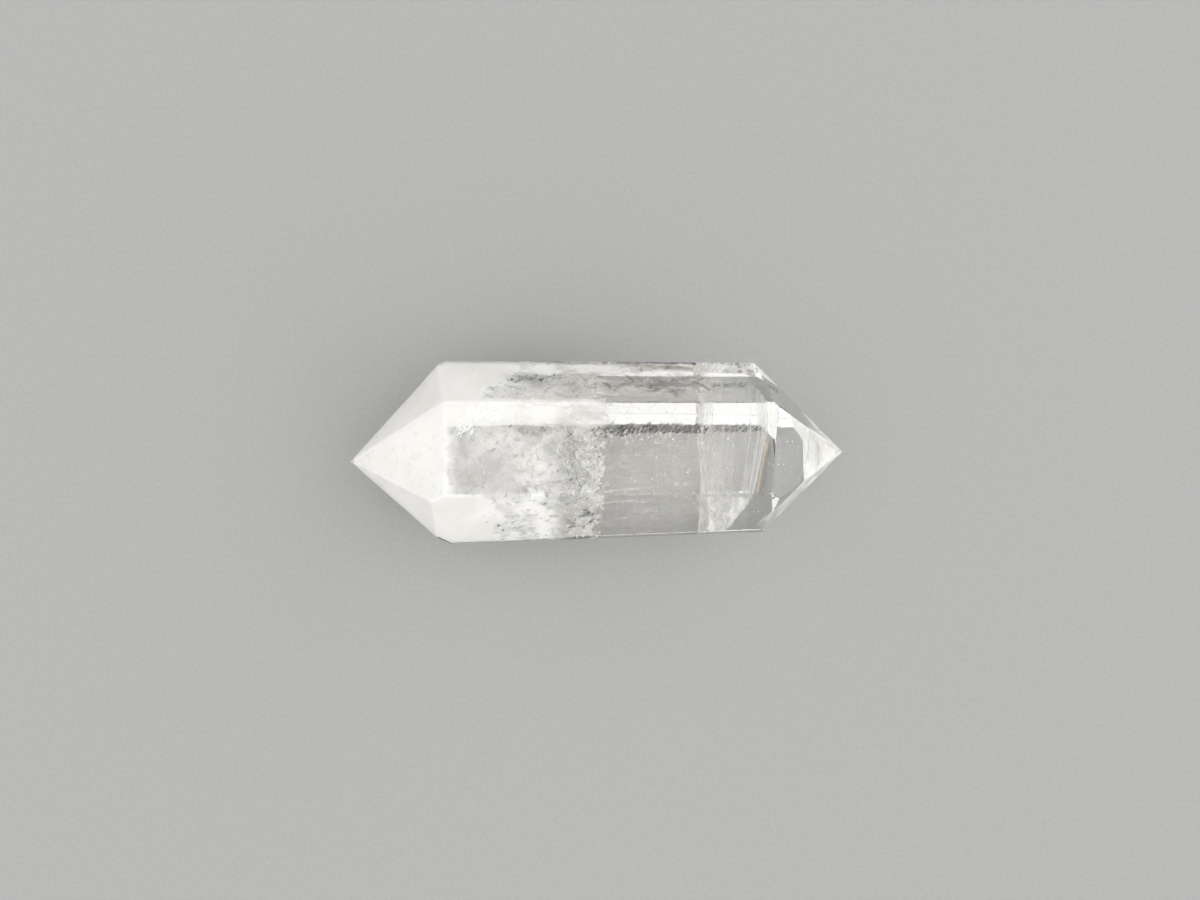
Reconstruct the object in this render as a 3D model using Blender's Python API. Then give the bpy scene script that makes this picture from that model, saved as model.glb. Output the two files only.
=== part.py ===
"""Double terminated quartz: one clear, polished rock crystal point with a six-sided prism and a six-sided
pyramid at each end.

Run it in Blender 4.5 with: blender --background --python part.py

The crystal lies on its bottom prism face, with its long axis along X and +Z up. It is one solid. It is cut as a
lapidary cuts it, one flat face after another, from a block. Its edges are then eased to narrow flats, and the
small nicks of a handled stone are chipped out of a few of them. The origin is the middle of the footprint, on
the surface that the crystal rests on.

The sizes below are in millimetres and degrees, and the finished mesh is in metres. "Back" is +Y, "front" is -Y,
"left" is -X and "right" is +X.
"""

import math

import bmesh
import bpy
from mathutils import Vector

MM = 0.001

LENGTH = 70.0

# The tips, measured from the middle of the crystal's own axis. Both lie a little off that axis, as cut.
LEFT_TIP = Vector((-35.46, -1.6, 0.3))
RIGHT_TIP = Vector((LEFT_TIP.x + LENGTH, -0.25, -0.35))
# How much of each tip's point is blunted away
TIP_WEAR = 0.1

# Prism faces: degrees round the axis from +Z towards +Y, distance from the axis at the middle of the length,
# and the taper in degrees, by which the face leans towards +X
PRISM_FACES = {
    "top": (-4.6, 9.06, 0.7),
    "back_upper": (58.7, 10.44, 0.4),
    "back_lower": (129.6, 10.18, 0.2),
    "bottom": (180.0, 10.8, 0.0),
    "front_lower": (-115.4, 12.06, 3.1),
    "front_upper": (-56.4, 9.77, 0.8),
}

# Pyramid faces: degrees round the axis, and degrees between the face and the axis. The six faces of an end
# would all meet in its tip.
LEFT_FACES = {
    "left_top": (-4.3, 31.0),
    "left_back_upper": (48.9, 39.8),
    "left_back_lower": (122.1, 43.4),
    "left_bottom": (180.0, 37.0),
    "left_front_lower": (-108.6, 41.1),
    "left_front_upper": (-54.1, 34.2),
}
RIGHT_FACES = {
    "right_top": (-7.8, 39.1),
    "right_back_upper": (63.8, 42.2),
    "right_back_lower": (124.5, 40.2),
    "right_bottom": (174.8, 48.2),
    "right_front_lower": (-109.9, 43.8),
    "right_front_upper": (-62.3, 41.6),
}

# Width of the flat that polishing leaves along each edge
EDGE_FLAT = 0.18

# Nicks: the two faces whose edge is chipped, where along X, the length of the chip and its depth
NICKS = (
    ("top", "front_upper", 22.9, 1.4, 0.22),
    ("front_upper", "right_top", 23.6, 0.9, 0.16),
    ("top", "front_upper", 2.1, 2.4, 0.10),
    ("front_upper", "front_lower", 2.3, 0.5, 0.12),
    ("front_upper", "front_lower", 4.5, 0.4, 0.10),
    ("front_upper", "front_lower", 6.7, 0.4, 0.09),
    ("front_upper", "front_lower", 8.8, 0.5, 0.12),
    ("front_upper", "front_lower", 11.0, 0.6, 0.15),
    ("back_upper", "back_lower", 17.2, 0.7, 0.14),
    ("bottom", "front_lower", -12.0, 0.9, 0.14),
    ("right_back_upper", "right_back_lower", 27.4, 0.6, 0.12),
    ("left_top", "left_back_upper", -33.9, 0.5, 0.12),
)

# Roundness of the tool that chips the nicks: how often its twenty faces are divided
NICK_SUBDIVISIONS = 2

# A vertex closer than this to a cut counts as on it
CUT_TOLERANCE = 1e-4
# Corners closer together than this are one corner
WELD_DISTANCE = 0.004


def outward_direction(degrees, lean):
    """The outward direction of a face: degrees round the axis, leaning towards +X by that many degrees."""
    turn, lean = math.radians(degrees), math.radians(lean)
    return Vector((math.sin(lean), math.cos(lean) * math.sin(turn), math.cos(lean) * math.cos(turn)))


def face_planes():
    """Every face by its name, as a point on it and its outward direction."""
    planes = {}
    for tip, faces, side in ((LEFT_TIP, LEFT_FACES, -1.0), (RIGHT_TIP, RIGHT_FACES, 1.0)):
        for name, (degrees, pitch) in faces.items():
            planes[name] = (tip, outward_direction(degrees, side * pitch))
    for name, (degrees, distance, taper) in PRISM_FACES.items():
        planes[name] = (outward_direction(degrees, 0.0) * distance, outward_direction(degrees, taper))
    return planes


def cut_flat(bm, point, outward):
    """Saws off what lies outside the plane and closes the cut with one flat face."""
    bmesh.ops.bisect_plane(
        bm,
        geom=bm.verts[:] + bm.edges[:] + bm.faces[:],
        dist=CUT_TOLERANCE,
        plane_co=point,
        plane_no=outward,
        clear_outer=True,
    )
    rim = [edge for edge in bm.edges if edge.is_boundary]
    if rim:
        bmesh.ops.holes_fill(bm, edges=rim, sides=0)


def ease_edges(bm, width):
    """Cuts a narrow flat along every edge that is longer than the flat is wide."""
    bm.normal_update()
    flats = []
    for edge in bm.edges:
        if edge.calc_length() > width:
            first, second = (face.normal for face in edge.link_faces)
            depth = 0.5 * width * math.tan(0.5 * first.angle(second))
            outward = (first + second).normalized()
            flats.append((edge.verts[0].co - outward * depth, outward))
    for point, outward in flats:
        cut_flat(bm, point, outward)


def edge_place(planes, first, second, x):
    """The point where two faces' edge passes x, and the direction that points out of the edge."""
    (first_point, first_out), (second_point, second_out) = planes[first], planes[second]
    along = first_out.cross(second_out)
    # The point on both planes that is nearest to the first face's own point
    start = first_point + along.cross(first_out) * (
        (second_point - first_point).dot(second_out) / along.cross(first_out).dot(second_out)
    )
    return start + along * ((x - start.x) / along.x), (first_out + second_out).normalized()


def place_at_origin(bm):
    """Moves the middle of the footprint to the origin, and returns the move."""
    lowest = Vector([min(vert.co[axis] for vert in bm.verts) for axis in range(3)])
    highest = Vector([max(vert.co[axis] for vert in bm.verts) for axis in range(3)])
    middle = (lowest + highest) / 2
    move = Vector((-middle.x, -middle.y, -lowest.z))
    bmesh.ops.translate(bm, verts=bm.verts[:], vec=move)
    return move


def finished_mesh(bm, name):
    """Turns millimetres to metres and hands over a mesh."""
    bmesh.ops.scale(bm, verts=bm.verts[:], vec=(MM, MM, MM))
    mesh = bpy.data.meshes.new(name)
    bm.to_mesh(mesh)
    bm.free()
    return mesh


def crystal_mesh(planes):
    """The faceted crystal before it is nicked, and the move that brought it to the origin."""
    bm = bmesh.new()
    bmesh.ops.create_cube(bm, size=1.5 * LENGTH)
    along = Vector((1.0, 0.0, 0.0))
    cut_flat(bm, LEFT_TIP + along * TIP_WEAR, -along)
    cut_flat(bm, RIGHT_TIP - along * TIP_WEAR, along)
    for point, outward in planes.values():
        cut_flat(bm, point, outward)
    ease_edges(bm, EDGE_FLAT)
    bmesh.ops.remove_doubles(bm, verts=bm.verts[:], dist=WELD_DISTANCE)
    bmesh.ops.recalc_face_normals(bm, faces=bm.faces[:])
    move = place_at_origin(bm)
    return finished_mesh(bm, "quartz_crystal"), move


def nick_mesh(planes, move):
    """One ball for each nick, sunk into its edge by the nick's depth."""
    bm = bmesh.new()
    for first, second, x, length, depth in NICKS:
        place, outward = edge_place(planes, first, second, x)
        radius = (length * length / 4 + depth * depth) / (2 * depth)
        ball = bmesh.ops.create_icosphere(bm, subdivisions=NICK_SUBDIVISIONS, radius=radius)
        bmesh.ops.translate(bm, verts=ball["verts"], vec=place + outward * (radius - depth) + move)
    return finished_mesh(bm, "nick_tool")


def quartz_material():
    """Colourless polished quartz."""
    material = bpy.data.materials.new("quartz")
    material.use_nodes = True
    shader = material.node_tree.nodes["Principled BSDF"]
    shader.inputs["Base Color"].default_value = (0.96, 0.96, 0.94, 1.0)
    shader.inputs["Roughness"].default_value = 0.03
    shader.inputs["Metallic"].default_value = 0.0
    shader.inputs["IOR"].default_value = 1.544
    shader.inputs["Transmission Weight"].default_value = 1.0
    return material


def add_object(name, mesh):
    added = bpy.data.objects.new(name, mesh)
    bpy.context.scene.collection.objects.link(added)
    return added


def main():
    for old in list(bpy.data.objects):
        bpy.data.objects.remove(old)
    planes = face_planes()
    mesh, move = crystal_mesh(planes)
    mesh.materials.append(quartz_material())
    crystal = add_object("quartz_crystal", mesh)
    nick_tool = add_object("nick_tool", nick_mesh(planes, move))
    nick_tool.hide_render = True
    nick_tool.display_type = "WIRE"
    chip = crystal.modifiers.new("chip", "BOOLEAN")
    chip.operation = "DIFFERENCE"
    chip.solver = "EXACT"
    chip.object = nick_tool


main()
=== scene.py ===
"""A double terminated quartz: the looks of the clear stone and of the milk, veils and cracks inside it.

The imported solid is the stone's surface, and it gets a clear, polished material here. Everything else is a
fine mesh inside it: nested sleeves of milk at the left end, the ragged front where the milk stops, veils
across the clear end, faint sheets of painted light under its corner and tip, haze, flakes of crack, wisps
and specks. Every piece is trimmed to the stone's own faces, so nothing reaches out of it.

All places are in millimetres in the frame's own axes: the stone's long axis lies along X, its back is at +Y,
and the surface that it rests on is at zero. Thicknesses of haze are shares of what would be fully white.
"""

import math
import random

import bmesh
import bpy
import numpy as np
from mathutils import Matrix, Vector, noise


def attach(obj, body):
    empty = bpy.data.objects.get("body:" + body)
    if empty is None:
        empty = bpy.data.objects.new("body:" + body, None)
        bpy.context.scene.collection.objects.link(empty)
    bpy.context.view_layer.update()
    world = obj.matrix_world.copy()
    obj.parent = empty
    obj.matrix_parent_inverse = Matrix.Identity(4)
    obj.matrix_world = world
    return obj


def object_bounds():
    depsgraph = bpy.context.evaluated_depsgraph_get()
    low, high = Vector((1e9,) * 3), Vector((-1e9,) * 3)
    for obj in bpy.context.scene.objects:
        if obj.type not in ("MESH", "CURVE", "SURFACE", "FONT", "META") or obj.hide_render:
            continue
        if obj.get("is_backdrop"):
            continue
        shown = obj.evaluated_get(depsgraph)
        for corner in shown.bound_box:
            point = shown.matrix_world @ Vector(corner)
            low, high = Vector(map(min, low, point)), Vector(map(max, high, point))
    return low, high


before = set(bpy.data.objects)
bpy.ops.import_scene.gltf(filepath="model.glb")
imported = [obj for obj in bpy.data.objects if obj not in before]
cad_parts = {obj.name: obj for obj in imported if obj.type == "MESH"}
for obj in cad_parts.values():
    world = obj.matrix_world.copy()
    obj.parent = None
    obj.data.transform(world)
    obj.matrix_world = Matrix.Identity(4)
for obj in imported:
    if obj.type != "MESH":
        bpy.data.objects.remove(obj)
cad_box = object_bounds()

MM = 0.001
STONE = "quartz_crystal"

# Camera: straight above the stone, as far off as the photograph's perspective asks for
LENS = 30.0
SENSOR = 36.0
CAMERA_HEIGHT = 152.85
CAMERA_RIGHT = 0.46
CAMERA_BACK = 0.41

# Light: how bright the dome is from its front (-1) to its back (1), and from its left (-1) to its right (1)
DOME_ACROSS = ((-1.0, 0.9), (-0.7, 1.0), (0.3, 1.0), (0.8, 0.9), (0.92, 0.55), (1.0, 0.5))
DOME_ALONG = ((-1.0, 0.56), (0.35, 0.56), (0.75, 1.0), (1.0, 1.0))
DOME_STRENGTH = 2.13

# Floor: how far it reaches, and the hair's breadth that it lies below the stone
FLOOR_RADIUS = 900.0
FLOOR_GAP = 0.02

# Facets larger than this, in square millimetres, are the stone's own faces and not its edge flats or nicks
SMALLEST_FACE = 20.0
# Where the stone's core line starts and ends
LEFT_TIP = Vector((-34.9, -1.19, 11.05))
RIGHT_TIP = Vector((34.9, 0.15, 10.38))
# Degrees between the core line and the left end's top face
LEFT_PITCH = 31.0
# About half of the stone's width
HALF_WIDTH = 12.0

# How far inside the stone's faces a piece is trimmed, and the metres within which a point is on a cut
TRIM_MARGIN = 0.2
TRIM_TOLERANCE = 1e-7
# A face whose slope towards a ray is smaller than this counts as parallel to it
PARALLEL = 1e-6

QUARTZ_IOR = 1.544
# A crack inside the stone starts to mirror where one minus the cosine of the viewing angle passes this
MIRROR_FROM = 1.0 - math.sqrt(1.0 - 1.0 / QUARTZ_IOR**2)

# Colours
PURE_WHITE = (1.0, 1.0, 1.0)
QUARTZ_TINT = (0.93, 0.93, 0.91)
WHITE = (0.995, 0.99, 0.975)
OUTER_WHITE = (0.935, 0.928, 0.91)
HAZE_WHITE = (0.99, 0.965, 0.91)
MILK_SHADE = (0.3, 0.295, 0.285)
GAP_DARK = (0.06, 0.057, 0.054)
CRACKLE_DARK = (0.06, 0.06, 0.055)
WISP_DARK = (0.12, 0.11, 0.10)
# Painted reflection: the brown of the surroundings, painted on flecks under the back faces
REFLECTED_BROWN = (0.20, 0.17, 0.145)
SILVER = (0.99, 0.99, 0.98)

# Borders of a sheet that is as thick at one border as at the other
EVEN = ((0.0, 1.0), (1.0, 1.0))

# The milk along X: dense up to the first place, cloudy between the next two, and patchy at the last
MILK_PLACES = (-20.6, -17.5, -9.0, 1.0)
# How much denser the cloudy milk is by Y: along its front, below the back of the top face, along its back.
# Below the back of the top face the extra density is painted light, in place of the bright band reflected
# inside the stone
MILK_SHELVES_WITH_PAINTED_BAND = (
    (-6.2, 0.75), (-5.4, 0.2), (3.5, 0.2), (4.0, 0.45), (6.8, 0.5), (7.2, 0.35), (10.5, 0.35), (11.0, 0.9),
)
# How far the dense milk stretches to the right there, as a share of the whole length of the milk.
# The long stretch below the back of the top face is painted light, in place of the same reflected band
MILK_TONGUES_WITH_PAINTED_BAND = ((-6.2, 0.2), (-5.4, 0.0), (3.5, 0.0), (4.0, 0.7), (6.8, 0.7), (7.2, 0.2), (11.0, 0.3))
# The milk stops in rounded lobes: the X and Y where two of them meet, their width and how far they bulge
LOBES_MEET_X = -0.1
LOBES_MEET_Y = -6.2
LOBE_WIDTH = 7.5
LOBE_BULGE = 1.1
# In front of this Y the milk draws back, by this share of the distance from it
DRAWN_FRONT = -8.0
DRAWN_SHARE = 0.7

# The milk's layers: depth below the stone's faces, where each ends along X, its thickness where the milk is
# dense and where it is cloudy, and how patchy it is
MILK_LAYERS = (
    (0.3, -1.8, 0.84, 0.30, 1.0),
    (1.2, -1.4, 0.85, 0.50, 0.9),
    (2.4, -1.5, 0.90, 0.70, 0.7),
    (3.8, -1.0, 0.95, 0.80, 0.7),
    (5.4, -1.5, 0.95, 0.90, 0.5),
    (7.2, -3.0, 0.95, 0.95, 0.5),
)
# The skins that close the milk: where each is along X, how far it bulges, its depth and its thickness
MILK_FRONTS = (
    (-8.0, 2.0, 1.6, 0.6),
    (-5.0, 2.5, 0.8, 0.75),
    (-2.6, 2.0, 0.6, 0.8),
)
# The strips of Y where the milk is smooth, under the back of the top face and along the back edge, and the X
# where both of them start
SMOOTH_STRIP = (3.4, 7.2)
SMOOTH_EDGE = (10.7, 13.0)
SMOOTH_LEFT = -11.0
# How thick the froth is by Y, where it leaves out the first of those strips, and the depths of its sleeves
FROTH_ACROSS = ((-13.0, 0.4), (-6.6, 0.4), (-6.0, 1.0), (3.1, 1.0), (3.6, 0.0), (7.0, 0.0), (7.4, 1.0))
FROTH_DEPTHS = (0.7, 1.9)

# The crosswise veil's X, and the leaning veil's borders as X and Z
VEIL_CROSSWISE = 15.3
VEIL_LOW = (16.4, 0.0)
VEIL_HIGH = (22.3, 19.8)
# How far the leaning veil's high border moves to the right for each millimetre of Y, and up to which Y
VEIL_LEAN = 0.2
VEIL_LEAN_END = 2.5

# The levels of haze in the clear part, each with its height and thickness, and the X where they start
HAZE_LEVELS = ((5.0, 0.15), (9.0, 0.10), (13.0, 0.10), (17.0, 0.10))
HAZE_LEFT = -3.0

# The noise that bends threads depends on a seed of its own
BEND_SEED = 5

SPECK_COUNT = 1500
# Right of this X, half of the specks are left out
SPECKS_THIN_OUT = 24.0


# Geometry of the stone

def stone_faces():
    """The stone's large faces, as outward directions and their distances from the origin in millimetres."""
    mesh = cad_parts[STONE].data
    areas = {}
    for polygon in mesh.polygons:
        key = tuple(round(value, 2) for value in polygon.normal)
        entry = areas.setdefault(key, [0.0, Vector(), 0.0])
        entry[0] += polygon.area / MM**2
        entry[1] += polygon.normal * polygon.area
        entry[2] += polygon.normal.dot(polygon.center) * polygon.area
    directions, distances = [], []
    for area, normal_sum, distance_sum in areas.values():
        if area > SMALLEST_FACE:
            directions.append(normal_sum.normalized())
            distances.append(distance_sum / (area * MM**2) / MM)
    return np.array(directions), np.array(distances)


FACE_OUT, FACE_AT = stone_faces()


def core_point(x):
    """The point on the line between the two tips at x."""
    share = (x - LEFT_TIP.x) / (RIGHT_TIP.x - LEFT_TIP.x)
    return LEFT_TIP.lerp(RIGHT_TIP, share)


def side_way(turn):
    """The direction square to X that is turned by that many radians from +Z towards +Y."""
    return Vector((0.0, math.sin(turn), math.cos(turn)))


def reach(origin, direction, depth):
    """How far one can go from origin in that direction and stay at least that deep inside the stone."""
    towards = FACE_OUT @ np.array(direction)
    room = FACE_AT - depth - FACE_OUT @ np.array(origin)
    ahead = towards > PARALLEL
    return max(0.0, float(np.min(room[ahead] / towards[ahead])))


def below_top(x, y, depth):
    """The point at x and y that lies that deep below the stone's upper faces."""
    origin = Vector((x, y, core_point(x).z))
    up = Vector((0.0, 0.0, 1.0))
    return origin + up * reach(origin, up, depth)


def milk_end(y):
    """Where the milk stops along X, as rounded lobes that draw back along the front."""
    lobe = abs(math.sin(math.pi * (y - LOBES_MEET_Y) / LOBE_WIDTH))
    return LOBE_BULGE * lobe + LOBES_MEET_X + DRAWN_SHARE * min(0.0, y - DRAWN_FRONT)


# Chance

def ripple(place, octaves, fading=1.0):
    """Noise around zero, each octave twice as fine as the one before. fading weakens the finer ones."""
    return noise.fractal(place, fading, 2.0, octaves)


def random_way(rng):
    """A vector whose three parts are each anywhere from -1 to 1."""
    return Vector([rng.uniform(-1.0, 1.0) for _ in range(3)])


# Making pieces

class Shape:
    """Points in millimetres, faces and texture places of a mesh that is being put together."""

    def __init__(self):
        self.points = []
        self.faces = []
        self.places = []

    def add(self, points, faces, places):
        first = len(self.points)
        self.points.extend(points)
        self.faces.extend(tuple(first + corner for corner in face) for face in faces)
        self.places.extend(places)


def sheet_shape(rows, columns, place, closed=False):
    """A grid with its points at place(u, v), where u runs along each row and v from row to row."""
    shape = Shape()
    across = columns if closed else columns - 1
    for row in range(rows):
        for column in range(columns):
            u, v = column / across, row / (rows - 1)
            shape.points.append(place(u, v))
            shape.places.append((u, v))
    for row in range(rows - 1):
        for column in range(across):
            after = (column + 1) % columns
            here, below = row * columns, (row + 1) * columns
            shape.faces.append((here + column, here + after, below + after, below + column))
    return shape


def trim_to_stone(mesh, margin):
    """Cut away what lies less than margin millimetres inside the stone's faces, or outside them."""
    body = bmesh.new()
    body.from_mesh(mesh)
    for outward, distance in zip(FACE_OUT, FACE_AT):
        outward = Vector(outward)
        limit = (distance - margin) * MM
        if max((vertex.co.dot(outward) for vertex in body.verts), default=0.0) > limit:
            bmesh.ops.bisect_plane(
                body,
                geom=body.verts[:] + body.edges[:] + body.faces[:],
                dist=TRIM_TOLERANCE,
                plane_co=outward * limit,
                plane_no=outward,
                clear_outer=True,
            )
    body.to_mesh(mesh)
    body.free()


def add_piece(name, shape, material, margin=TRIM_MARGIN, smooth=True):
    """A mesh inside the stone. It rides with the stone."""
    mesh = bpy.data.meshes.new(name)
    mesh.from_pydata([point * MM for point in shape.points], [], shape.faces)
    layer = mesh.uv_layers.new(name="places")
    for loop in mesh.loops:
        layer.data[loop.index].uv = shape.places[loop.vertex_index]
    trim_to_stone(mesh, margin)
    if smooth:
        mesh.shade_smooth()
    mesh.materials.append(material)
    piece = bpy.data.objects.new(name, mesh)
    bpy.context.scene.collection.objects.link(piece)
    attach(piece, "root")


# Materials

def as_shares(stops):
    """Ramp stops, with their places in millimetres turned into shares of the way from first to last."""
    first, last = stops[0][0], stops[-1][0]
    return [((place - first) / (last - first), value) for place, value in stops]


def fill_ramp(node, stops):
    """Give a colour ramp its stops, each a position with a grey or a colour."""
    elements = node.color_ramp.elements
    while len(elements) < len(stops):
        elements.new(0.5)
    for element, (position, value) in zip(elements, stops):
        element.position = position
        colour = value if isinstance(value, tuple) else (value, value, value)
        element.color = (*colour, 1.0)


class Look:
    """A material in the making: its shader, and short calls that add the nodes which feed it."""

    def __init__(self, name):
        self.material = bpy.data.materials.new(name)
        self.material.use_nodes = True
        self.nodes = self.material.node_tree.nodes
        self.links = self.material.node_tree.links
        self.shader = self.nodes["Principled BSDF"]

    def put(self, socket, value):
        """Set a socket to a number or colour, or link an output to it."""
        if isinstance(value, bpy.types.NodeSocket):
            self.links.new(value, socket)
        elif isinstance(value, tuple):
            socket.default_value = (*value, 1.0)
        else:
            socket.default_value = value

    def set(self, **values):
        """Set the shader's inputs, named with underscores for spaces."""
        for name, value in values.items():
            self.put(self.shader.inputs[name.replace("_", " ")], value)

    def coordinate(self, kind, letter):
        """One coordinate of a place: "Object" is in metres, and "UV" is the texture place."""
        coordinates = self.nodes.new("ShaderNodeTexCoord")
        parts = self.nodes.new("ShaderNodeSeparateXYZ")
        self.links.new(coordinates.outputs[kind], parts.inputs["Vector"])
        return parts.outputs[letter]

    def place(self, letter):
        """The texture place of a sheet: "X" runs along its rows and "Y" from row to row."""
        return self.coordinate("UV", letter)

    def along(self, axis, low, high):
        """Zero at low and one at high along an axis, in millimetres."""
        span = self.nodes.new("ShaderNodeMapRange")
        span.clamp = False
        self.put(span.inputs["From Min"], low * MM)
        self.put(span.inputs["From Max"], high * MM)
        self.put(span.inputs["Value"], self.coordinate("Object", axis))
        return span.outputs["Result"]

    def facing(self):
        """Zero where a surface is seen square on, and one where it is seen edge on."""
        weight = self.nodes.new("ShaderNodeLayerWeight")
        self.put(weight.inputs["Blend"], 0.5)
        return weight.outputs["Facing"]

    def noise(self, scale, detail=3.0, roughness=0.5, distortion=0.0, stretch=(1.0, 1.0, 1.0)):
        """Noise over the piece's own place, with scale in cells for each millimetre."""
        coordinates = self.nodes.new("ShaderNodeTexCoord")
        mapping = self.nodes.new("ShaderNodeMapping")
        mapping.inputs["Scale"].default_value = [value * scale / MM for value in stretch]
        self.links.new(coordinates.outputs["Object"], mapping.inputs["Vector"])
        texture = self.nodes.new("ShaderNodeTexNoise")
        settings = {
            "Vector": mapping.outputs["Vector"], "Scale": 1.0,
            "Detail": detail, "Roughness": roughness, "Distortion": distortion,
        }
        for name, value in settings.items():
            self.put(texture.inputs[name], value)
        return texture.outputs["Fac"]

    def ramp(self, source, stops):
        """A colour ramp from (position, grey) or (position, colour) stops."""
        node = self.nodes.new("ShaderNodeValToRGB")
        self.put(node.inputs["Fac"], source)
        fill_ramp(node, stops)
        return node.outputs["Color"]

    def math(self, operation, first, second):
        node = self.nodes.new("ShaderNodeMath")
        node.operation = operation
        self.put(node.inputs[0], first)
        self.put(node.inputs[1], second)
        return node.outputs["Value"]

    def product(self, first, *others):
        for other in others:
            first = self.math("MULTIPLY", first, other)
        return first

    def mixed(self, first, second, share, blend="MIX"):
        """Two colours mixed by share, or blended in another way."""
        node = self.nodes.new("ShaderNodeMix")
        node.data_type = "RGBA"
        node.blend_type = blend
        self.put(node.inputs["Factor"], share)
        self.put(node.inputs["A"], first)
        self.put(node.inputs["B"], second)
        return node.outputs["Result"]

    def ridges(self, scale, thin, thick, stretch=(1.0, 1.0, 1.0)):
        """Crinkled lines: one on a line, falling to zero at its border."""
        height = self.noise(scale, detail=3.5, roughness=0.6, distortion=0.6, stretch=stretch)
        off = self.math("ABSOLUTE", self.math("SUBTRACT", height, 0.5), 0.0)
        return self.ramp(off, [(0.0, 1.0), (thin, 0.7), (thick, 0.0)])


def clear_quartz():
    """The polished surface of the stone: see-through, with faint polishing marks."""
    look = Look("clear_quartz")
    look.set(Base_Color=PURE_WHITE, Transmission_Weight=1.0, IOR=QUARTZ_IOR)
    marks = look.noise(1.6, detail=4.0, stretch=(0.25, 1.0, 1.0))
    look.set(Roughness=look.ramp(marks, [(0.45, 0.0), (0.8, 0.02)]))
    absorption = look.nodes.new("ShaderNodeVolumeAbsorption")
    look.put(absorption.inputs["Color"], QUARTZ_TINT)
    look.put(absorption.inputs["Density"], 5.0)
    look.put(look.nodes["Material Output"].inputs["Volume"], absorption.outputs["Volume"])
    return look.material


def white_look(name, colour=WHITE):
    """A look for white haze, which scatters light and has no gloss."""
    look = Look(name)
    look.set(Base_Color=colour, Roughness=0.9, Specular_IOR_Level=0.0)
    return look


def patchy_material(name, scale, detail, stops):
    """Plain white, with its thickness as a ramp over noise."""
    look = white_look(name)
    look.set(Alpha=look.ramp(look.noise(scale, detail=detail), stops))
    return look.material


def milk_ramp(look, along, values):
    """A ramp along the milk that has each value at its own place."""
    first, last = MILK_PLACES[0], MILK_PLACES[-1]
    shares = [(place - first) / (last - first) for place in MILK_PLACES]
    return look.ramp(along, list(zip(shares, values)))


def milk_places(look):
    """How far a point is along the milk and across it, both a little ragged."""
    ragged = look.product(look.math("SUBTRACT", look.noise(0.3, detail=4.0), 0.5), 0.4)
    front, back = MILK_SHELVES_WITH_PAINTED_BAND[0][0], MILK_SHELVES_WITH_PAINTED_BAND[-1][0]
    across = look.math("ADD", look.along("Y", front, back), look.product(ragged, 0.1))
    along = look.math("ADD", look.along("X", MILK_PLACES[0], MILK_PLACES[-1]), ragged)
    # The tongues include painted light: a long stretch of dense milk in place of the reflected bright band
    along = look.math("SUBTRACT", along, look.ramp(across, as_shares(MILK_TONGUES_WITH_PAINTED_BAND)))
    return along, across


def milk_mottle(look, along, wispy):
    """What the milk's thickness is multiplied by: clouds and froth, stronger towards its front."""
    clouds = look.ramp(look.noise(0.2, detail=5.0, roughness=0.5, distortion=0.5), [
        (0.36, 0.45), (0.5, 1.05), (0.62, 1.6),
    ])
    froth = look.ramp(look.noise(1.0, detail=4.0, roughness=0.65, distortion=0.4), [
        (0.36, 0.2), (0.47, 1.0), (0.7, 1.3),
    ])
    contrast = milk_ramp(look, along, (0.15, 0.5 * wispy, 0.8 * wispy, wispy))
    mottle = look.math("SUBTRACT", look.product(clouds, froth), 1.0)
    return look.math("ADD", look.product(mottle, contrast), 1.0)


def milk_material(name, colour, dense, cloudy, wispy):
    """White haze: dense at the left end, then cloudy, and patchy where it stops."""
    look = white_look(name)
    along, across = milk_places(look)
    body = milk_ramp(look, along, (dense, cloudy, cloudy, 0.8 * cloudy))
    # The shelves include painted light: denser milk in place of the reflected bright band under the back of
    # the top face
    body = look.math("ADD", body, look.ramp(across, as_shares(MILK_SHELVES_WITH_PAINTED_BAND)))
    end = look.ramp(look.place("Y"), [(0.0, 1.0), (0.85, 1.0), (1.0, 0.0)])
    look.set(Alpha=look.product(body, milk_mottle(look, along, wispy), end))

    tinge = look.ramp(look.noise(0.16, detail=4.0, roughness=0.55, distortion=0.8), [
        (0.38, (0.955, 0.955, 0.95)), (0.5, (0.985, 0.985, 0.985)), (0.6, PURE_WHITE),
    ])
    clean = look.mixed(milk_ramp(look, along, (colour, WHITE)), tinge, 1.0, blend="MULTIPLY")
    shade = look.ramp(look.noise(0.35, detail=4.0, roughness=0.52, distortion=0.7), [
        (0.36, 0.5), (0.47, 0.06), (0.55, 0.0),
    ])
    shade = look.product(shade, milk_ramp(look, along, (0.0, 0.6, 0.7, 1.0)))
    look.set(Base_Color=look.mixed(clean, MILK_SHADE, shade))
    return look.material


def front_material(name, thickness):
    """The white skin where the milk stops, crumpled and full of holes."""
    look = white_look(name)
    crumple = look.ramp(look.noise(0.7, detail=5.0, roughness=0.6, distortion=0.8), [
        (0.36, 0.25), (0.46, 0.8), (0.52, 1.1), (0.58, 0.8), (0.66, 1.0),
    ])
    look.set(Alpha=look.product(crumple, thickness))
    return look.material


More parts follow.
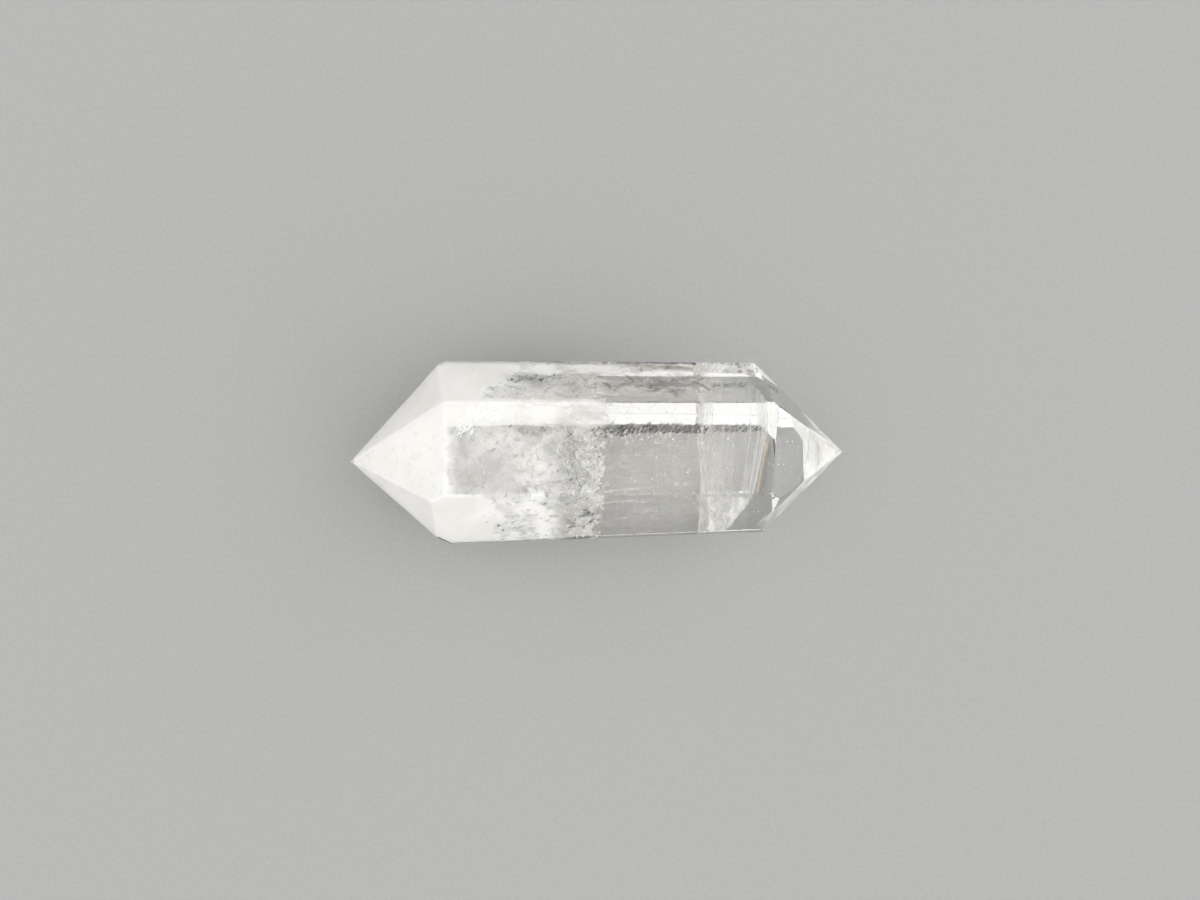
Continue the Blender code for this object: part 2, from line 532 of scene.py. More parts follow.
def lace_material(name, scale, line, lining, stretch=(1.0, 1.0, 1.0), rows=None, by_y=None, pit=0.22):
    """Crinkled white lines with a patchy lining, in which the pits are as dark as pit.

    line and lining are thicknesses. rows and by_y are ramp stops that these are multiplied by, from row to
    row and along Y in millimetres.
    """
    look = white_look(name)
    lines = look.ridges(scale, 0.008, 0.022, stretch=stretch)
    pits = look.noise(1.4 * scale, detail=3.0, roughness=0.6, stretch=stretch)
    tone = look.ramp(pits, [(0.40, (pit, pit, 0.95 * pit)), (0.5, (0.75, 0.745, 0.73)), (0.6, WHITE)])
    look.set(Base_Color=look.mixed(tone, WHITE, lines))
    patches = look.ramp(look.noise(0.45 * scale, detail=3.0, distortion=0.4), [(0.4, 0.15), (0.6, 1.0)])
    alpha = look.math("MAXIMUM", look.product(lines, line), look.product(patches, lining))
    if rows:
        alpha = look.product(alpha, look.ramp(look.place("Y"), rows))
    if by_y:
        front, back = by_y[0][0], by_y[-1][0]
        alpha = look.product(alpha, look.ramp(look.along("Y", front, back), as_shares(by_y)))
    look.set(Alpha=alpha)
    return look.material


def veil_and_painted_light_material(name, streaks, thickness, along, across, colour=WHITE, grain=2.2):
    """A sheet of fine haze, also used for sheets of painted light. along and across are its thickness from
    border to border, as ramp stops.
    """
    look = white_look(name, colour)
    fine = look.noise(grain, detail=4.0, roughness=0.55, distortion=0.2, stretch=streaks)
    broad = look.noise(0.4, detail=3.0, distortion=0.6, stretch=streaks)
    look.set(Alpha=look.product(
        look.ramp(fine, [(0.35, 0.5), (0.5, 0.75), (0.6, 1.15), (0.75, 1.4)]),
        look.ramp(broad, [(0.35, 0.5), (0.65, 1.2)]),
        look.ramp(look.place("X"), along),
        look.ramp(look.place("Y"), across),
        thickness,
    ))
    return look.material


def wisp_material(name, colour, thickness):
    """A broken line of tiny dots and dashes."""
    look = white_look(name, colour)
    dots = look.ramp(look.noise(3.0, detail=3.0, roughness=0.7), [(0.42, 0.0), (0.62, 1.0)])
    groups = look.ramp(look.noise(0.45, detail=2.0), [(0.4, 0.15), (0.6, 1.0)])
    across = look.ramp(look.place("X"), [(0.0, 0.0), (0.35, 1.0), (0.65, 1.0), (1.0, 0.0)])
    look.set(Alpha=look.product(dots, groups, across, thickness))
    return look.material


def mirror_material(name, clear):
    """A thin crack: a mirror seen aslant, and only as thick as clear seen square on."""
    look = Look(name)
    look.set(Base_Color=SILVER, Metallic=1.0, Roughness=0.12)
    aslant = look.ramp(look.facing(), [(MIRROR_FROM - 0.1, clear), (MIRROR_FROM + 0.04, 0.95)])
    patches = look.noise(2.5, detail=4.0, roughness=0.6, distortion=0.5)
    look.set(Alpha=look.product(aslant, look.ramp(patches, [(0.4, 0.25), (0.55, 1.0)])))
    return look.material


def fleck_material(name, colour, thickness):
    """White or dark flecks with a soft, patchy edge."""
    look = white_look(name, colour)
    patches = look.ramp(look.noise(3.0, detail=4.0, roughness=0.7), [(0.38, 0.1), (0.56, 1.0)])
    rim = look.ramp(look.place("X"), [(0.55, 1.0), (1.0, 0.0)])
    look.set(Alpha=look.product(patches, rim, thickness))
    return look.material


def rainbow_material():
    """The warm to cool line on the leaning veil's border."""
    look = Look("rainbow_edge")
    look.set(Roughness=0.6, Specular_IOR_Level=0.0)
    look.set(Base_Color=look.ramp(look.place("X"), [
        (0.0, (0.95, 0.92, 0.84)), (0.2, (0.66, 0.56, 0.40)), (0.42, (0.28, 0.22, 0.16)),
        (0.7, (0.16, 0.16, 0.17)), (1.0, (0.3, 0.33, 0.36)),
    ]))
    fine = look.ramp(look.noise(2.0, detail=3.0, stretch=(1.0, 0.3, 1.0)), [(0.35, 0.6), (0.65, 1.0)])
    ends = look.ramp(look.place("Y"), [(0.0, 0.0), (0.15, 1.0), (0.8, 1.0), (1.0, 0.0)])
    border = look.ramp(look.place("X"), [(0.0, 0.0), (0.15, 0.8), (0.45, 0.7), (1.0, 0.0)])
    look.set(Alpha=look.product(fine, ends, border))
    return look.material


# The milk

def make_sleeve(number, depth, end, material):
    """A sleeve of milk at one depth below the stone's faces, from the left tip to a ragged end."""
    start = LEFT_TIP.x + depth / math.sin(math.radians(LEFT_PITCH))

    def place(u, v):
        side = side_way(math.tau * u)
        ragged = 3.0 * noise.noise(side * 1.5 + Vector((number * 5.0, 0.0, 0.0)))
        drawn_back = end + 0.5 * (milk_end(HALF_WIDTH * side.y) - milk_end(0.0))
        centre = core_point(start + (drawn_back + ragged - start) * v)
        room = reach(centre, side, depth)
        point = centre + side * room
        dent = ripple(point * 0.35 + Vector((0.0, 0.0, number * 7.0)), 4)
        return point - side * min(room, max(0.0, 0.3 * depth * dent))

    add_piece(f"milk_sleeve_{number}", sheet_shape(110, 140, place, closed=True), material, margin=0.15)


def make_front(number, x, bulge, depth, material):
    """A crumpled dome that closes the milk on its right."""

    def place(u, v):
        side = side_way(math.tau * u)
        centre = core_point(x)
        point = centre + side * reach(centre, side, depth) * v
        point.x += bulge * (1.0 - v**2) + milk_end(point.y) - 0.6
        shift = Vector((number * 11.0, 0.0, 0.0))
        point.x += 2.0 * noise.noise(point * 0.3 + shift)
        point.x += 0.5 * ripple(point * 1.1 + shift, 4, fading=0.8)
        return point

    add_piece(f"milk_front_{number}", sheet_shape(70, 140, place, closed=True), material, margin=0.25)


def make_smooth_strips():
    """Smooth milk just under the faces, along two strips."""
    material = veil_and_painted_light_material(
        "milk_strip", (0.4, 1.0, 1.0), 1.3, [(0.0, 0.0), (0.2, 1.0), (0.75, 1.0), (1.0, 0.0)],
        [(0.0, 0.5), (0.1, 1.0), (0.85, 1.0), (1.0, 0.0)], colour=OUTER_WHITE, grain=0.9
    )
    for name, right, (front, back) in (("milk_strip", 3.0, SMOOTH_STRIP), ("milk_edge", 6.0, SMOOTH_EDGE)):
        def place(u, v, right=right, front=front, back=back):
            x = SMOOTH_LEFT + (right - SMOOTH_LEFT) * u
            depth = 0.3 + 0.1 * noise.noise(Vector((5.0 * u, v, 2.0)))
            return below_top(x, back + (front - back) * v, depth)

        add_piece(name, sheet_shape(20, 60, place), material)


def make_heart():
    """A ramp of solid white inside the milk, which draws back with height."""

    def place(u, v):
        y, z = HALF_WIDTH - 2.0 * HALF_WIDTH * u, 0.3 + 14.0 * v
        x = milk_end(y) - 0.9 - 0.55 * z
        return Vector((x + 0.6 * noise.noise(Vector((x, y, z)) * 0.4), y, z))

    material = patchy_material("milk_heart", 1.2, 3.0, [(0.3, 0.9), (0.6, 1.0)])
    add_piece("milk_heart", sheet_shape(60, 80, place), material, margin=0.4)


def make_froth():
    """Two sleeves of lace-like froth around the cloudy milk."""
    material = lace_material(
        "milk_froth", 0.75, 1.0, 0.28, by_y=FROTH_ACROSS,
        rows=[(0.0, 0.4), (0.5, 0.55), (0.75, 1.0), (0.96, 1.0), (1.0, 0.0)]
    )
    for number, depth in enumerate(FROTH_DEPTHS, start=1):
        def place(u, v, depth=depth):
            side = side_way(math.tau * u)
            first, last = MILK_PLACES[0], milk_end(HALF_WIDTH * side.y)
            x = first + (last - first) * v
            centre = core_point(x)
            inward = 0.5 * ripple(Vector((x, 0.0, depth)) * 0.5 + side * 4.0, 4)
            return centre + side * (reach(centre, side, depth) - abs(inward))

        add_piece(f"milk_froth_{number}", sheet_shape(150, 200, place, closed=True), material)


def around_stone(rng, span, depths):
    """A random point in a span of X and of depths below the stone's faces, and the way out from there."""
    x, turn = rng.uniform(*span), rng.uniform(0.0, math.tau)
    side = side_way(turn)
    centre = core_point(x)
    return centre + side * reach(centre, side, rng.uniform(*depths)), side


def in_rough_milk(point):
    """Whether a place is left of the milk's end and clear of its smooth strip."""
    smooth = SMOOTH_STRIP[0] < point.y < SMOOTH_STRIP[1]
    return point.x < milk_end(point.y) and not smooth


def thread_shape(count, span, depths, lengths, widths, sway, seed):
    """Short bent threads, strewn below the stone's faces."""
    rng = random.Random(seed)
    shape = Shape()
    steps = 14
    faces = [(2 * step, 2 * step + 1, 2 * step + 3, 2 * step + 2) for step in range(steps)]
    for number in range(count):
        point, outward = around_stone(rng, span, depths)
        if not in_rough_milk(point):
            continue
        way = random_way(rng)
        way = (way - 0.8 * outward * way.dot(outward)).normalized()
        turn = way.cross(outward).normalized() * rng.uniform(-0.25, 0.25)
        length, width = rng.uniform(*lengths), rng.uniform(*widths)
        points, places = [], []
        for step in range(steps + 1):
            share = step / steps
            side = way.cross(outward).normalized()
            half = 0.5 * width * math.sin(math.pi * (0.06 + 0.88 * share))
            points += [point - side * half, point + side * half]
            places += [(0.0, share), (1.0, share)]
            bend = noise.noise_vector(point * 0.8 + Vector((number * 1.0, 0.0, 0.0)))
            way = (way + turn + sway * bend).normalized()
            point = point + way * (length / steps)
        shape.add(points, faces, places)
    return shape


def fleck_shape(count, span, depths, sizes, stretch, seed):
    """Small flecks, strewn in groups below the stone's faces."""
    rng = random.Random(seed)
    shape = Shape()
    for _ in range(count):
        centre, outward = around_stone(rng, span, depths)
        grouped = noise.noise(centre * 0.55) + 0.5 * noise.noise(centre * 1.7) > 0.05
        if not grouped or not in_rough_milk(centre):
            continue
        facing = (outward + 0.7 * random_way(rng)).normalized()
        size = sizes[0] + (sizes[1] - sizes[0]) * rng.random() ** 2
        add_flake(
            shape, centre, facing, size, rng.uniform(-0.3, 0.3), rng.uniform(1.0, stretch),
            rng.uniform(0.0, 90.0), rings=2, spokes=9
        )
    return shape


def make_threads():
    noise.seed_set(BEND_SEED)
    # Name, count, span of X, depths, lengths, widths, how much they sway, and the seed
    threads = (
        ("milk_threads", 130, (-20.0, 0.0), (0.3, 1.8), (0.8, 3.5), (0.05, 0.16), 0.35, 11),
        ("front_threads", 230, (-6.5, 1.2), (0.3, 0.8), (0.6, 2.4), (0.06, 0.18), 0.9, 17),
    )
    material = patchy_material("milk_thread", 1.5, 2.0, [(0.4, 0.3), (0.55, 1.0)])
    for name, *settings in threads:
        add_piece(name, thread_shape(*settings), material)


def make_flecks():
    """White flecks, dark gaps and glints in the milk."""
    white = patchy_material("milk_fleck", 2.0, 3.0, [(0.4, 0.3), (0.55, 1.0)])
    gap = fleck_material("milk_gap", GAP_DARK, 1.1)
    glint = mirror_material("milk_glint", 0.3)
    # Name, material, count, span of X, depths, sizes, and how far they are drawn out
    flecks = (
        ("milk_flecks", white, 1600, (-20.0, 1.2), (0.3, 1.6), (0.05, 0.35), 2.4),
        ("milk_gaps", gap, 90, (-19.0, -7.0), (0.3, 1.0), (0.06, 0.28), 2.8),
        ("front_gaps", gap, 560, (-7.5, 1.2), (0.3, 1.0), (0.06, 0.34), 2.8),
        ("front_glints", glint, 900, (-9.0, 1.2), (0.3, 0.9), (0.08, 0.4), 2.8),
        ("milk_glints", glint, 500, (-19.0, -7.0), (0.3, 0.9), (0.06, 0.3), 2.8),
    )
    for seed, (name, material, *settings) in enumerate(flecks, start=12):
        add_piece(name, fleck_shape(*settings, seed), material)


def make_milk():
    for number, (depth, end, dense, cloudy, wispy) in enumerate(MILK_LAYERS, start=1):
        colour = OUTER_WHITE if number == 1 else WHITE
        make_sleeve(number, depth, end, milk_material(f"milk_{number}", colour, dense, cloudy, wispy))
    for number, (x, bulge, depth, thickness) in enumerate(MILK_FRONTS, start=1):
        make_front(number, x, bulge, depth, front_material(f"front_{number}", thickness))
    make_smooth_strips()
    make_heart()
    make_froth()
    make_threads()
    make_flecks()


# Veils, haze and painted light in the clear end

def leaning_point(share, y):
    """A point of the leaning veil: share runs from its low border to its high one."""
    low_x, low_z = VEIL_LOW
    high_x, high_z = VEIL_HIGH
    high_x += VEIL_LEAN * min(y, VEIL_LEAN_END)
    x = low_x + (high_x - low_x) * share
    z = low_z + (high_z - low_z) * share
    x += 0.25 * noise.noise(Vector((share * 2.0, y * 0.15, 3.0)))
    return Vector((x, y, z))


def make_crosswise_veil():
    def place(u, v):
        y, z = 12.5 - 25.0 * v, 0.3 + 20.5 * u
        ragged = 0.6 * ripple(Vector((y * 0.12, z * 0.12, 8.0)), 3)
        return Vector((VEIL_CROSSWISE - 0.5 + 1.1 * u + ragged, y, z))

    material = veil_and_painted_light_material(
        "veil_wisps", (1.0, 0.5, 0.5), 0.5, [(0.0, 2.2), (0.3, 2.0), (0.45, 1.0), (1.0, 1.0)],
        [(0.0, 1.0), (0.5, 0.8), (0.65, 1.4), (1.0, 1.2)], grain=0.7
    )
    add_piece("veil_crosswise", sheet_shape(120, 100, place), material)


def make_leaning_veil():
    def place(u, v):
        return leaning_point(u, 12.5 - 25.5 * v)

    material = veil_and_painted_light_material(
        "veil_streaks", (1.0, 0.1, 1.0), 0.8,
        [(0.0, 0.15), (0.5, 0.3), (0.8, 0.7), (0.95, 1.25), (1.0, 0.7)],
        [(0.0, 0.6), (0.35, 0.8), (0.7, 1.0), (1.0, 1.0)], grain=0.9
    )
    add_piece("veil_leaning", sheet_shape(110, 110, place), material)


def make_flame_veil():
    """The flame-shaped veil under the front face."""

    def place(u, v):
        left = 15.0 + 1.3 * v + 0.5 * ripple(Vector((v * 5.0, 1.0, 2.0)), 4)
        right = 21.3 - 3.4 * v + 0.3 * ripple(Vector((v * 7.0, 4.0, 2.0)), 4)
        depth = 1.6 + 0.8 * noise.noise(Vector((u * 3.0, v * 3.0, 6.0)))
        return below_top(left + (right - left) * u, -5.0 - 7.2 * v, depth)

    material = veil_and_painted_light_material(
        "veil_flame", (1.0, 0.3, 0.3), 1.2, [(0.0, 1.3), (0.2, 0.7), (0.85, 0.9), (1.0, 0.3)],
        [(0.0, 0.4), (0.1, 1.0), (0.95, 1.0), (1.0, 0.0)], grain=1.4
    )
    add_piece("veil_flame", sheet_shape(70, 70, place), material)


def make_corner_painted_light():
    """A faint sheet of painted light under the front right facet, in place of the light that the lower faces
    throw there.
    """
    corner, towards_tip, inward = Vector((23.6, -11.1)), Vector((11.0, 10.9)), Vector((-1.3, 1.3))

    def place(u, v):
        foot = corner + towards_tip * u + inward * v
        return below_top(foot.x, foot.y, 0.25)

    # Painted light: a white haze sheet in place of the light that the lower faces throw on this facet
    material = veil_and_painted_light_material(
        "corner_painted_light", (0.6, 0.6, 0.6), 0.7, [(0.0, 0.2), (0.12, 1.0), (0.8, 1.0), (1.0, 0.6)],
        [(0.0, 1.6), (0.15, 1.0), (0.9, 0.9), (1.0, 0.5)], grain=0.5
    )
    add_piece("corner_painted_light", sheet_shape(40, 60, place), material, margin=0.12)


def make_tip_painted_light():
    """A faint sheet of painted light under the right tip, for the same reason: in place of the light that
    the lower faces throw there.
    """

    def place(u, v):
        return below_top(28.6 + 6.2 * u, 5.6 - 11.2 * v, 0.3)

    # Painted light: a white haze sheet in place of the light that the lower faces throw under the tip
    material = veil_and_painted_light_material(
        "tip_painted_light", (0.6, 0.6, 0.6), 0.45, [(0.0, 0.0), (0.12, 1.0), (1.0, 1.0)], EVEN, grain=0.4
    )
    add_piece("tip_painted_light", sheet_shape(60, 40, place), material, margin=0.15)


def make_rainbow():
    """The coloured line that hangs on the leaning veil's high border."""

    def place(u, v):
        border = leaning_point(0.96, 2.5 - 9.5 * v)
        border.x += 0.15 + 1.5 * u
        border.z -= 0.6 * u
        return border

    add_piece("veil_rainbow", sheet_shape(40, 8, place), rainbow_material())


def make_veils_and_painted_light():
    make_crosswise_veil()
    make_leaning_veil()
    make_flame_veil()
    make_corner_painted_light()
    make_tip_painted_light()
    make_rainbow()


def make_haze():
    """Faint haze that hangs through the clear part, up to the leaning veil."""
    for number, (height, thickness) in enumerate(HAZE_LEVELS, start=1):
        def place(u, v, height=height, number=number):
            y = 13.0 - 26.0 * v
            x = HAZE_LEFT + (leaning_point(height / 20.0, y).x - HAZE_LEFT) * u
            lift = 1.6 * ripple(Vector((x * 0.12, y * 0.12, number * 3.0)), 3)
            return Vector((x, y, height + lift))

        material = veil_and_painted_light_material(
            f"haze_{number}", (0.8, 1.0, 1.0), thickness, EVEN, EVEN, colour=HAZE_WHITE, grain=2.0
        )
        add_piece(f"haze_{number}", sheet_shape(50, 60, place), material)


def make_haze_clouds():
    """Thicker haze under the upper back face."""

    def place(u, v):
        return below_top(15.0 * u, 7.3 + 3.2 * v, 0.8 + 0.5 * noise.noise(Vector((6.0 * u, v, 5.0))))

    material = veil_and_painted_light_material(
        "haze_clouds", (0.5, 1.0, 1.0), 0.55, [(0.0, 1.0), (0.9, 0.7), (1.0, 0.0)],
        [(0.0, 0.6), (0.3, 1.0), (0.7, 0.8), (1.0, 0.0)], grain=1.2
    )
    add_piece("haze_clouds", sheet_shape(16, 60, place), material)


# Cracks, wisps and specks

def add_flake(shape, centre, facing, size, bend, stretch, seed, rings=5, spokes=16, crumple=0.0):
    """Add one flake: a bent, wavy disc with a ragged rim. stretch draws it out, crumple folds it finely."""
    side = facing.orthogonal().normalized()
    across = facing.cross(side)
    points, places = [centre], [(0.0, 0.0)]
    for ring in range(1, rings + 1):
        share = ring / rings
        for spoke in range(spokes):
            turn = math.tau * spoke / spokes
            way = side * math.cos(turn) * stretch + across * math.sin(turn) / stretch
            rim = 1.0 + 0.5 * ripple(way * 2.0 + Vector((0.0, 0.0, seed)), 3, fading=0.8)
            point = centre + way * (share * rim * size)
            wave = ripple(point * (1.2 / size) + Vector((seed, 0.0, 0.0)), 3, fading=0.8)
            fold = crumple * ripple(point * 1.3 + Vector((0.0, seed, 0.0)), 5, fading=0.7)
            points.append(point + facing * (size * (bend * share**2 + 0.22 * wave * share) + fold))
            places.append((share, spoke / spokes))
    faces = [(0, 1 + spoke, 1 + (spoke + 1) % spokes) for spoke in range(spokes)]
    for ring in range(rings - 1):
        inner = 1 + ring * spokes
        outer = inner + spokes
        for spoke in range(spokes):
            after = (spoke + 1) % spokes
            faces.append((inner + spoke, outer + spoke, outer + after, inner + after))
    shape.add(points, faces, places)


def make_cluster(name, count, low, high, sizes, lie, spread, stretch, material, seed, below=False):
    """Flakes strewn through a box. They face along lie, more or less as spread says.

    With below, the last two numbers of low and high are depths under the stone's upper faces.
    """
    rng = random.Random(seed)
    shape = Shape()
    for _ in range(count):
        centre = Vector([rng.uniform(a, b) for a, b in zip(low, high)])
        if below:
            centre = below_top(centre.x, centre.y, centre.z)
        facing = Vector(lie) + spread * random_way(rng)
        size = rng.uniform(*sizes) * rng.uniform(0.6, 1.0)
        add_flake(
            shape, centre, facing.normalized(), size, rng.uniform(-0.35, 0.35),
            rng.uniform(1.0, stretch), rng.uniform(0.0, 90.0)
        )
    add_piece(name, shape, material)


def make_crackle():
    """Clusters of silver cracks, dark gaps, brown flecks of painted reflection and white sparks."""
    silver = mirror_material("silver_crack", 0.12)
    dark = fleck_material("dark_gap", CRACKLE_DARK, 0.95)
    # Brown flecks of painted reflection: the surroundings' brown, painted in where the stone shows it
    reflected_brown = fleck_material("painted_brown_reflection", REFLECTED_BROWN, 0.6)
    bright = fleck_material("bright_patch", PURE_WHITE, 1.6)
    # Which way flakes face: right, up, anyhow, to the upper back and to the upper front
    right, up, free = (1.0, 0.0, 0.2), (0.0, 0.0, 1.0), (0.0, 0.0, 0.0)
    back, front = (0.0, 0.7, 0.7), (0.0, -0.8, 0.6)

    # Name, count, two opposite corners of the box, sizes, which way they face and how strictly, how far they
    # are drawn out, and the material
    deep = (
        ("crack_front", 70, (-4.5, -6.8, 6.0), (1.0, 1.8, 18.5), (0.3, 0.9), right, 0.9, 1.5, silver),
        ("crack_front_low", 50, (-4.2, -12.0, 3.0), (0.3, -6.5, 14.0), (0.3, 0.9), right, 0.9, 1.5, silver),
        ("crack_front_back", 35, (-3.0, 3.0, 5.0), (1.6, 11.5, 18.0), (0.3, 0.9), right, 0.9, 1.5, silver),
        ("crack_milk", 120, (-21.5, -11.0, 3.0), (-3.0, 11.0, 18.5), (0.15, 0.6), free, 1.0, 2.2, silver),
        ("crackle_silver", 50, (1.2, 1.6, 3.4), (15.0, 4.3, 4.6), (0.1, 0.4), up, 1.1, 2.0, silver),
        ("crackle_dark", 300, (0.4, 3.5, 3.4), (15.0, 4.4, 4.6), (0.15, 0.6), up, 0.5, 2.6, dark),
        # Painted reflection: brown flecks along the back
        ("strip_smoke", 26, (1.0, 10.6, 8.5), (12.5, 11.8, 12.5), (0.3, 0.9), back, 0.4, 2.0, reflected_brown),
        ("crackle_end", 60, (16.6, 3.5, 3.4), (21.6, 4.4, 4.6), (0.1, 0.5), up, 0.6, 2.4, dark),
    )
    for seed, cluster in enumerate(deep):
        make_cluster(*cluster, seed)

    # The same, with depths under the upper faces in place of heights
    shallow = (
        ("spark_left", 20, (-18.6, 2.6, 0.22), (-16.4, 4.1, 0.32), (0.3, 0.7), up, 0.1, 2.8, bright),
        ("spark_ridge", 46, (-15.8, 4.4, 0.22), (-12.9, 8.9, 0.32), (0.25, 0.7), up, 0.1, 2.8, bright),
        ("gap_back", 90, (-12.4, 9.8, 0.22), (-5.0, 10.7, 0.5), (0.1, 0.4), back, 0.4, 2.2, dark),
        ("gap_back_white", 60, (-12.4, 9.7, 0.22), (-4.0, 10.8, 0.4), (0.08, 0.3), back, 0.6, 2.2, bright),
        ("gap_ridge", 34, (-16.5, 2.3, 0.25), (-6.0, 3.6, 0.6), (0.08, 0.3), up, 0.4, 2.2, dark),
        ("gap_dashes", 20, (-15.7, -11.0, 0.25), (-10.8, -9.4, 0.5), (0.1, 0.4), front, 0.2, 3.0, dark),
        # Painted reflection: brown flecks under the upper back face
        ("smoke_back", 60, (1.5, 7.6, 0.6), (15.0, 10.4, 1.8), (0.4, 1.3), back, 0.2, 2.6, reflected_brown),
        ("gap_corner", 60, (-0.8, 2.2, 0.4), (4.6, 3.8, 1.6), (0.1, 0.34), up, 0.4, 2.2, dark),
        ("gap_crackle", 170, (2.0, 2.7, 0.3), (14.8, 3.6, 1.0), (0.06, 0.28), up, 0.4, 2.6, dark),
        ("white_crackle", 90, (1.0, 1.3, 0.3), (14.8, 3.5, 1.6), (0.05, 0.22), up, 1.0, 3.2, bright),
        ("gap_end", 50, (17.0, 2.9, 0.3), (22.4, 3.6, 1.0), (0.06, 0.26), up, 0.4, 2.6, dark),
    )
    for seed, cluster in enumerate(shallow, start=40):
        make_cluster(*cluster, seed, below=True)


def make_folds():
    """Large crumpled cracks at the milk's front."""
    # Name, centre, which way it faces, and size
    folds = (
        ("fold_top", (-1.6, -2.6, 16.6), (0.55, -0.1, 0.85), 3.0),
        ("fold_middle", (-4.0, 0.8, 16.4), (0.4, 0.3, 0.8), 1.8),
        ("fold_front", (-1.8, -9.0, 12.4), (0.3, -0.6, 0.7), 2.4),
        ("fold_back", (0.2, 8.4, 13.2), (0.5, 0.7, 0.5), 2.1),
    )
    material = lace_material("crumpled_crack", 0.7, 1.2, 0.9, pit=0.02)
    for number, (name, centre, way, size) in enumerate(folds):
        shape = Shape()
        add_flake(
            shape, Vector(centre), Vector(way).normalized(), size, bend=-0.35, stretch=1.15,
            seed=number * 9.0, rings=40, spokes=110, crumple=0.4
        )
        add_piece(name, shape, material)


def make_crackle_sheet():
    """The lace of fine cracks that shows through the long bright band."""

    def place(u, v):
        point = Vector((0.4 + 14.9 * u, 4.5 - 3.6 * v, 3.7))
        point.z += 0.5 * ripple(point * 0.6, 4, fading=0.8)
        return point

    material = lace_material(
        "crackle_lace", 1.6, 1.1, 0.45, stretch=(0.7, 1.3, 1.0),
        rows=[(0.0, 1.0), (0.3, 1.0), (0.6, 0.6), (1.0, 0.0)]
    )
    add_piece("crackle_sheet", sheet_shape(40, 130, place), material)


def make_wisps():
    """Thin broken lines of tiny inclusions."""
    white = wisp_material("bright_wisp", WHITE, 0.6)
    line = wisp_material("bright_line", WHITE, 1.6)
    dark = wisp_material("dark_wisp", WISP_DARK, 1.3)
    # Name, start, end, width and material
    wisps = (
        ("wisp_long", (-0.7, -5.3, 14.0), (12.9, -4.0, 14.5), 0.7, white),
        ("wisp_short", (4.2, -6.3, 17.0), (8.6, -5.9, 17.0), 0.6, white),
        ("wisp_ledge", (4.0, -7.6, 15.5), (9.5, -7.3, 15.8), 1.1, white),
        ("wisp_dark", (0.3, -6.5, 18.4), (12.0, -6.2, 18.2), 0.9, dark),
        ("wisp_back", (16.2, 7.4, 19.0), (24.2, 7.5, 18.9), 0.4, line),
    )
    for number, (name, start, end, width, material) in enumerate(wisps):
        def place(u, v, start=Vector(start), end=Vector(end), width=width, number=number):
            point = start.lerp(end, v)
            bend = ripple(Vector((point.x * 0.4, number * 4.0, 1.0)), 3)
            return point + Vector((0.0, 0.3 * bend + (u - 0.5) * width, 0.3 * bend))

        add_piece(name, sheet_shape(120, 6, place), material)


def make_specks():
    """Pinpoint specks through the clear part, joined in one mesh."""
    rng = random.Random(71)
    shape = Shape()
    corners = [Vector(way) for way in ((1, 0, 0), (-1, 0, 0), (0, 1, 0), (0, -1, 0), (0, 0, 1), (0, 0, -1))]
    faces = [(0, 2, 4), (2, 1, 4), (1, 3, 4), (3, 0, 4), (2, 0, 5), (1, 2, 5), (3, 1, 5), (0, 3, 5)]
    for _ in range(SPECK_COUNT):
        centre = Vector((rng.uniform(-2.0, 30.0), rng.uniform(-12.0, 11.0), rng.uniform(0.5, 20.0)))
        if centre.x > SPECKS_THIN_OUT and rng.random() < 0.5:
            continue
        size = 0.04 + 0.09 * rng.random() ** 4
        shape.add([centre + corner * size for corner in corners], faces, [(0.0, 0.5)] * len(corners))
    look = white_look("speck")
    shade = look.noise(0.4, detail=1.0)
    look.set(Base_Color=look.ramp(shade, [(0.4, (0.99, 0.98, 0.96)), (0.6, (0.7, 0.7, 0.68))]))
    add_piece("specks", shape, look.material, margin=0.3, smooth=False)


# Stage, light and camera

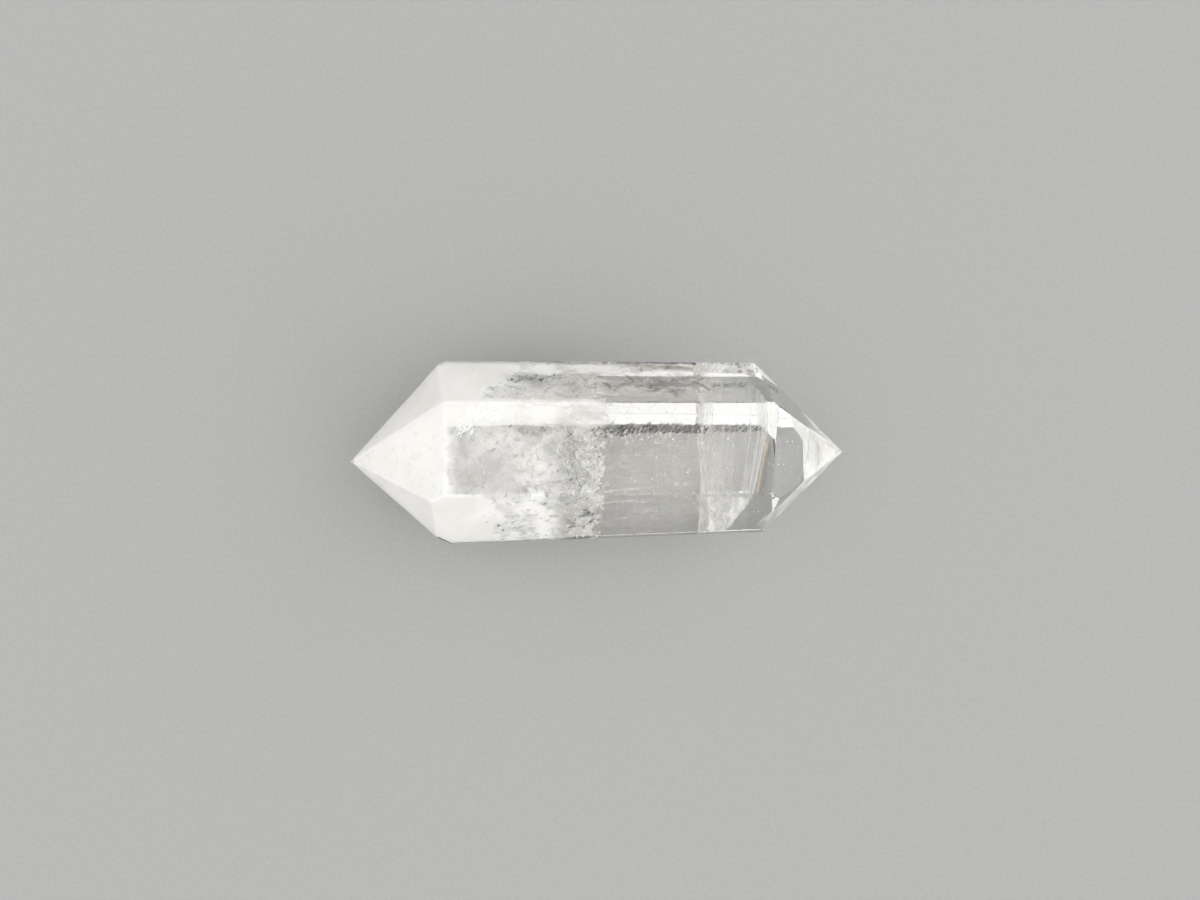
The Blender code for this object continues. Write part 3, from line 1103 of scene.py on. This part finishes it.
def make_floor():
    bpy.ops.mesh.primitive_circle_add(vertices=128, radius=FLOOR_RADIUS * MM, fill_type="NGON")
    floor = bpy.context.object
    floor.name = "floor"
    floor.location.z = -FLOOR_GAP * MM
    look = Look("pale_floor")
    grain = look.noise(2.0, detail=4.0)
    look.set(Roughness=0.85, Base_Color=look.ramp(grain, [
        (0.3, (0.345, 0.345, 0.34)), (0.7, (0.375, 0.375, 0.37)),
    ]))
    floor.data.materials.append(look.material)
    floor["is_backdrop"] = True


def make_world():
    """A soft dome of light, brightest low on the right and dimmer low at the back."""
    world = bpy.data.worlds.new("light_tent")
    bpy.context.scene.world = world
    world.use_nodes = True
    nodes, links = world.node_tree.nodes, world.node_tree.links
    coordinates = nodes.new("ShaderNodeTexCoord")
    parts = nodes.new("ShaderNodeSeparateXYZ")
    links.new(coordinates.outputs["Generated"], parts.inputs["Vector"])
    both = nodes.new("ShaderNodeMath")
    both.operation = "MULTIPLY"
    for number, (axis, stops) in enumerate((("Y", DOME_ACROSS), ("X", DOME_ALONG))):
        span = nodes.new("ShaderNodeMapRange")
        span.inputs["From Min"].default_value = -1.0
        ramp = nodes.new("ShaderNodeValToRGB")
        ramp.color_ramp.interpolation = "EASE"
        fill_ramp(ramp, [((place + 1.0) / 2.0, grey) for place, grey in stops])
        links.new(parts.outputs[axis], span.inputs["Value"])
        links.new(span.outputs["Result"], ramp.inputs["Fac"])
        links.new(ramp.outputs["Color"], both.inputs[number])
    background = nodes["Background"]
    links.new(both.outputs["Value"], background.inputs["Color"])
    background.inputs["Strength"].default_value = DOME_STRENGTH
    world.cycles.sampling_method = "NONE"


def make_camera():
    data = bpy.data.cameras.new("camera")
    data.lens = LENS
    data.sensor_width = SENSOR
    data.clip_start = MM
    camera = bpy.data.objects.new("camera", data)
    camera.location = (CAMERA_RIGHT * MM, CAMERA_BACK * MM, CAMERA_HEIGHT * MM)
    bpy.context.scene.collection.objects.link(camera)
    bpy.context.scene.camera = camera


def set_light_paths():
    """Enough bounces for light to find its way through the stone and its veils."""
    scene = bpy.context.scene
    scene.cycles.max_bounces = 28
    scene.cycles.transmission_bounces = 28
    scene.cycles.glossy_bounces = 16
    scene.cycles.diffuse_bounces = 24
    scene.cycles.transparent_max_bounces = 64
    scene.cycles.blur_glossy = 0.0
    scene.view_settings.view_transform = "Standard"


make_camera()
set_light_paths()
make_world()
make_floor()
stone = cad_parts[STONE]
stone.data.materials.clear()
stone.data.materials.append(clear_quartz())
make_milk()
make_veils_and_painted_light()
make_haze()
make_haze_clouds()
make_crackle()
make_folds()
make_crackle_sheet()
make_wisps()
make_specks()

boxes = {"cad": cad_box, "visual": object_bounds()}
{name: [list(corner) for corner in box] for name, box in boxes.items()}
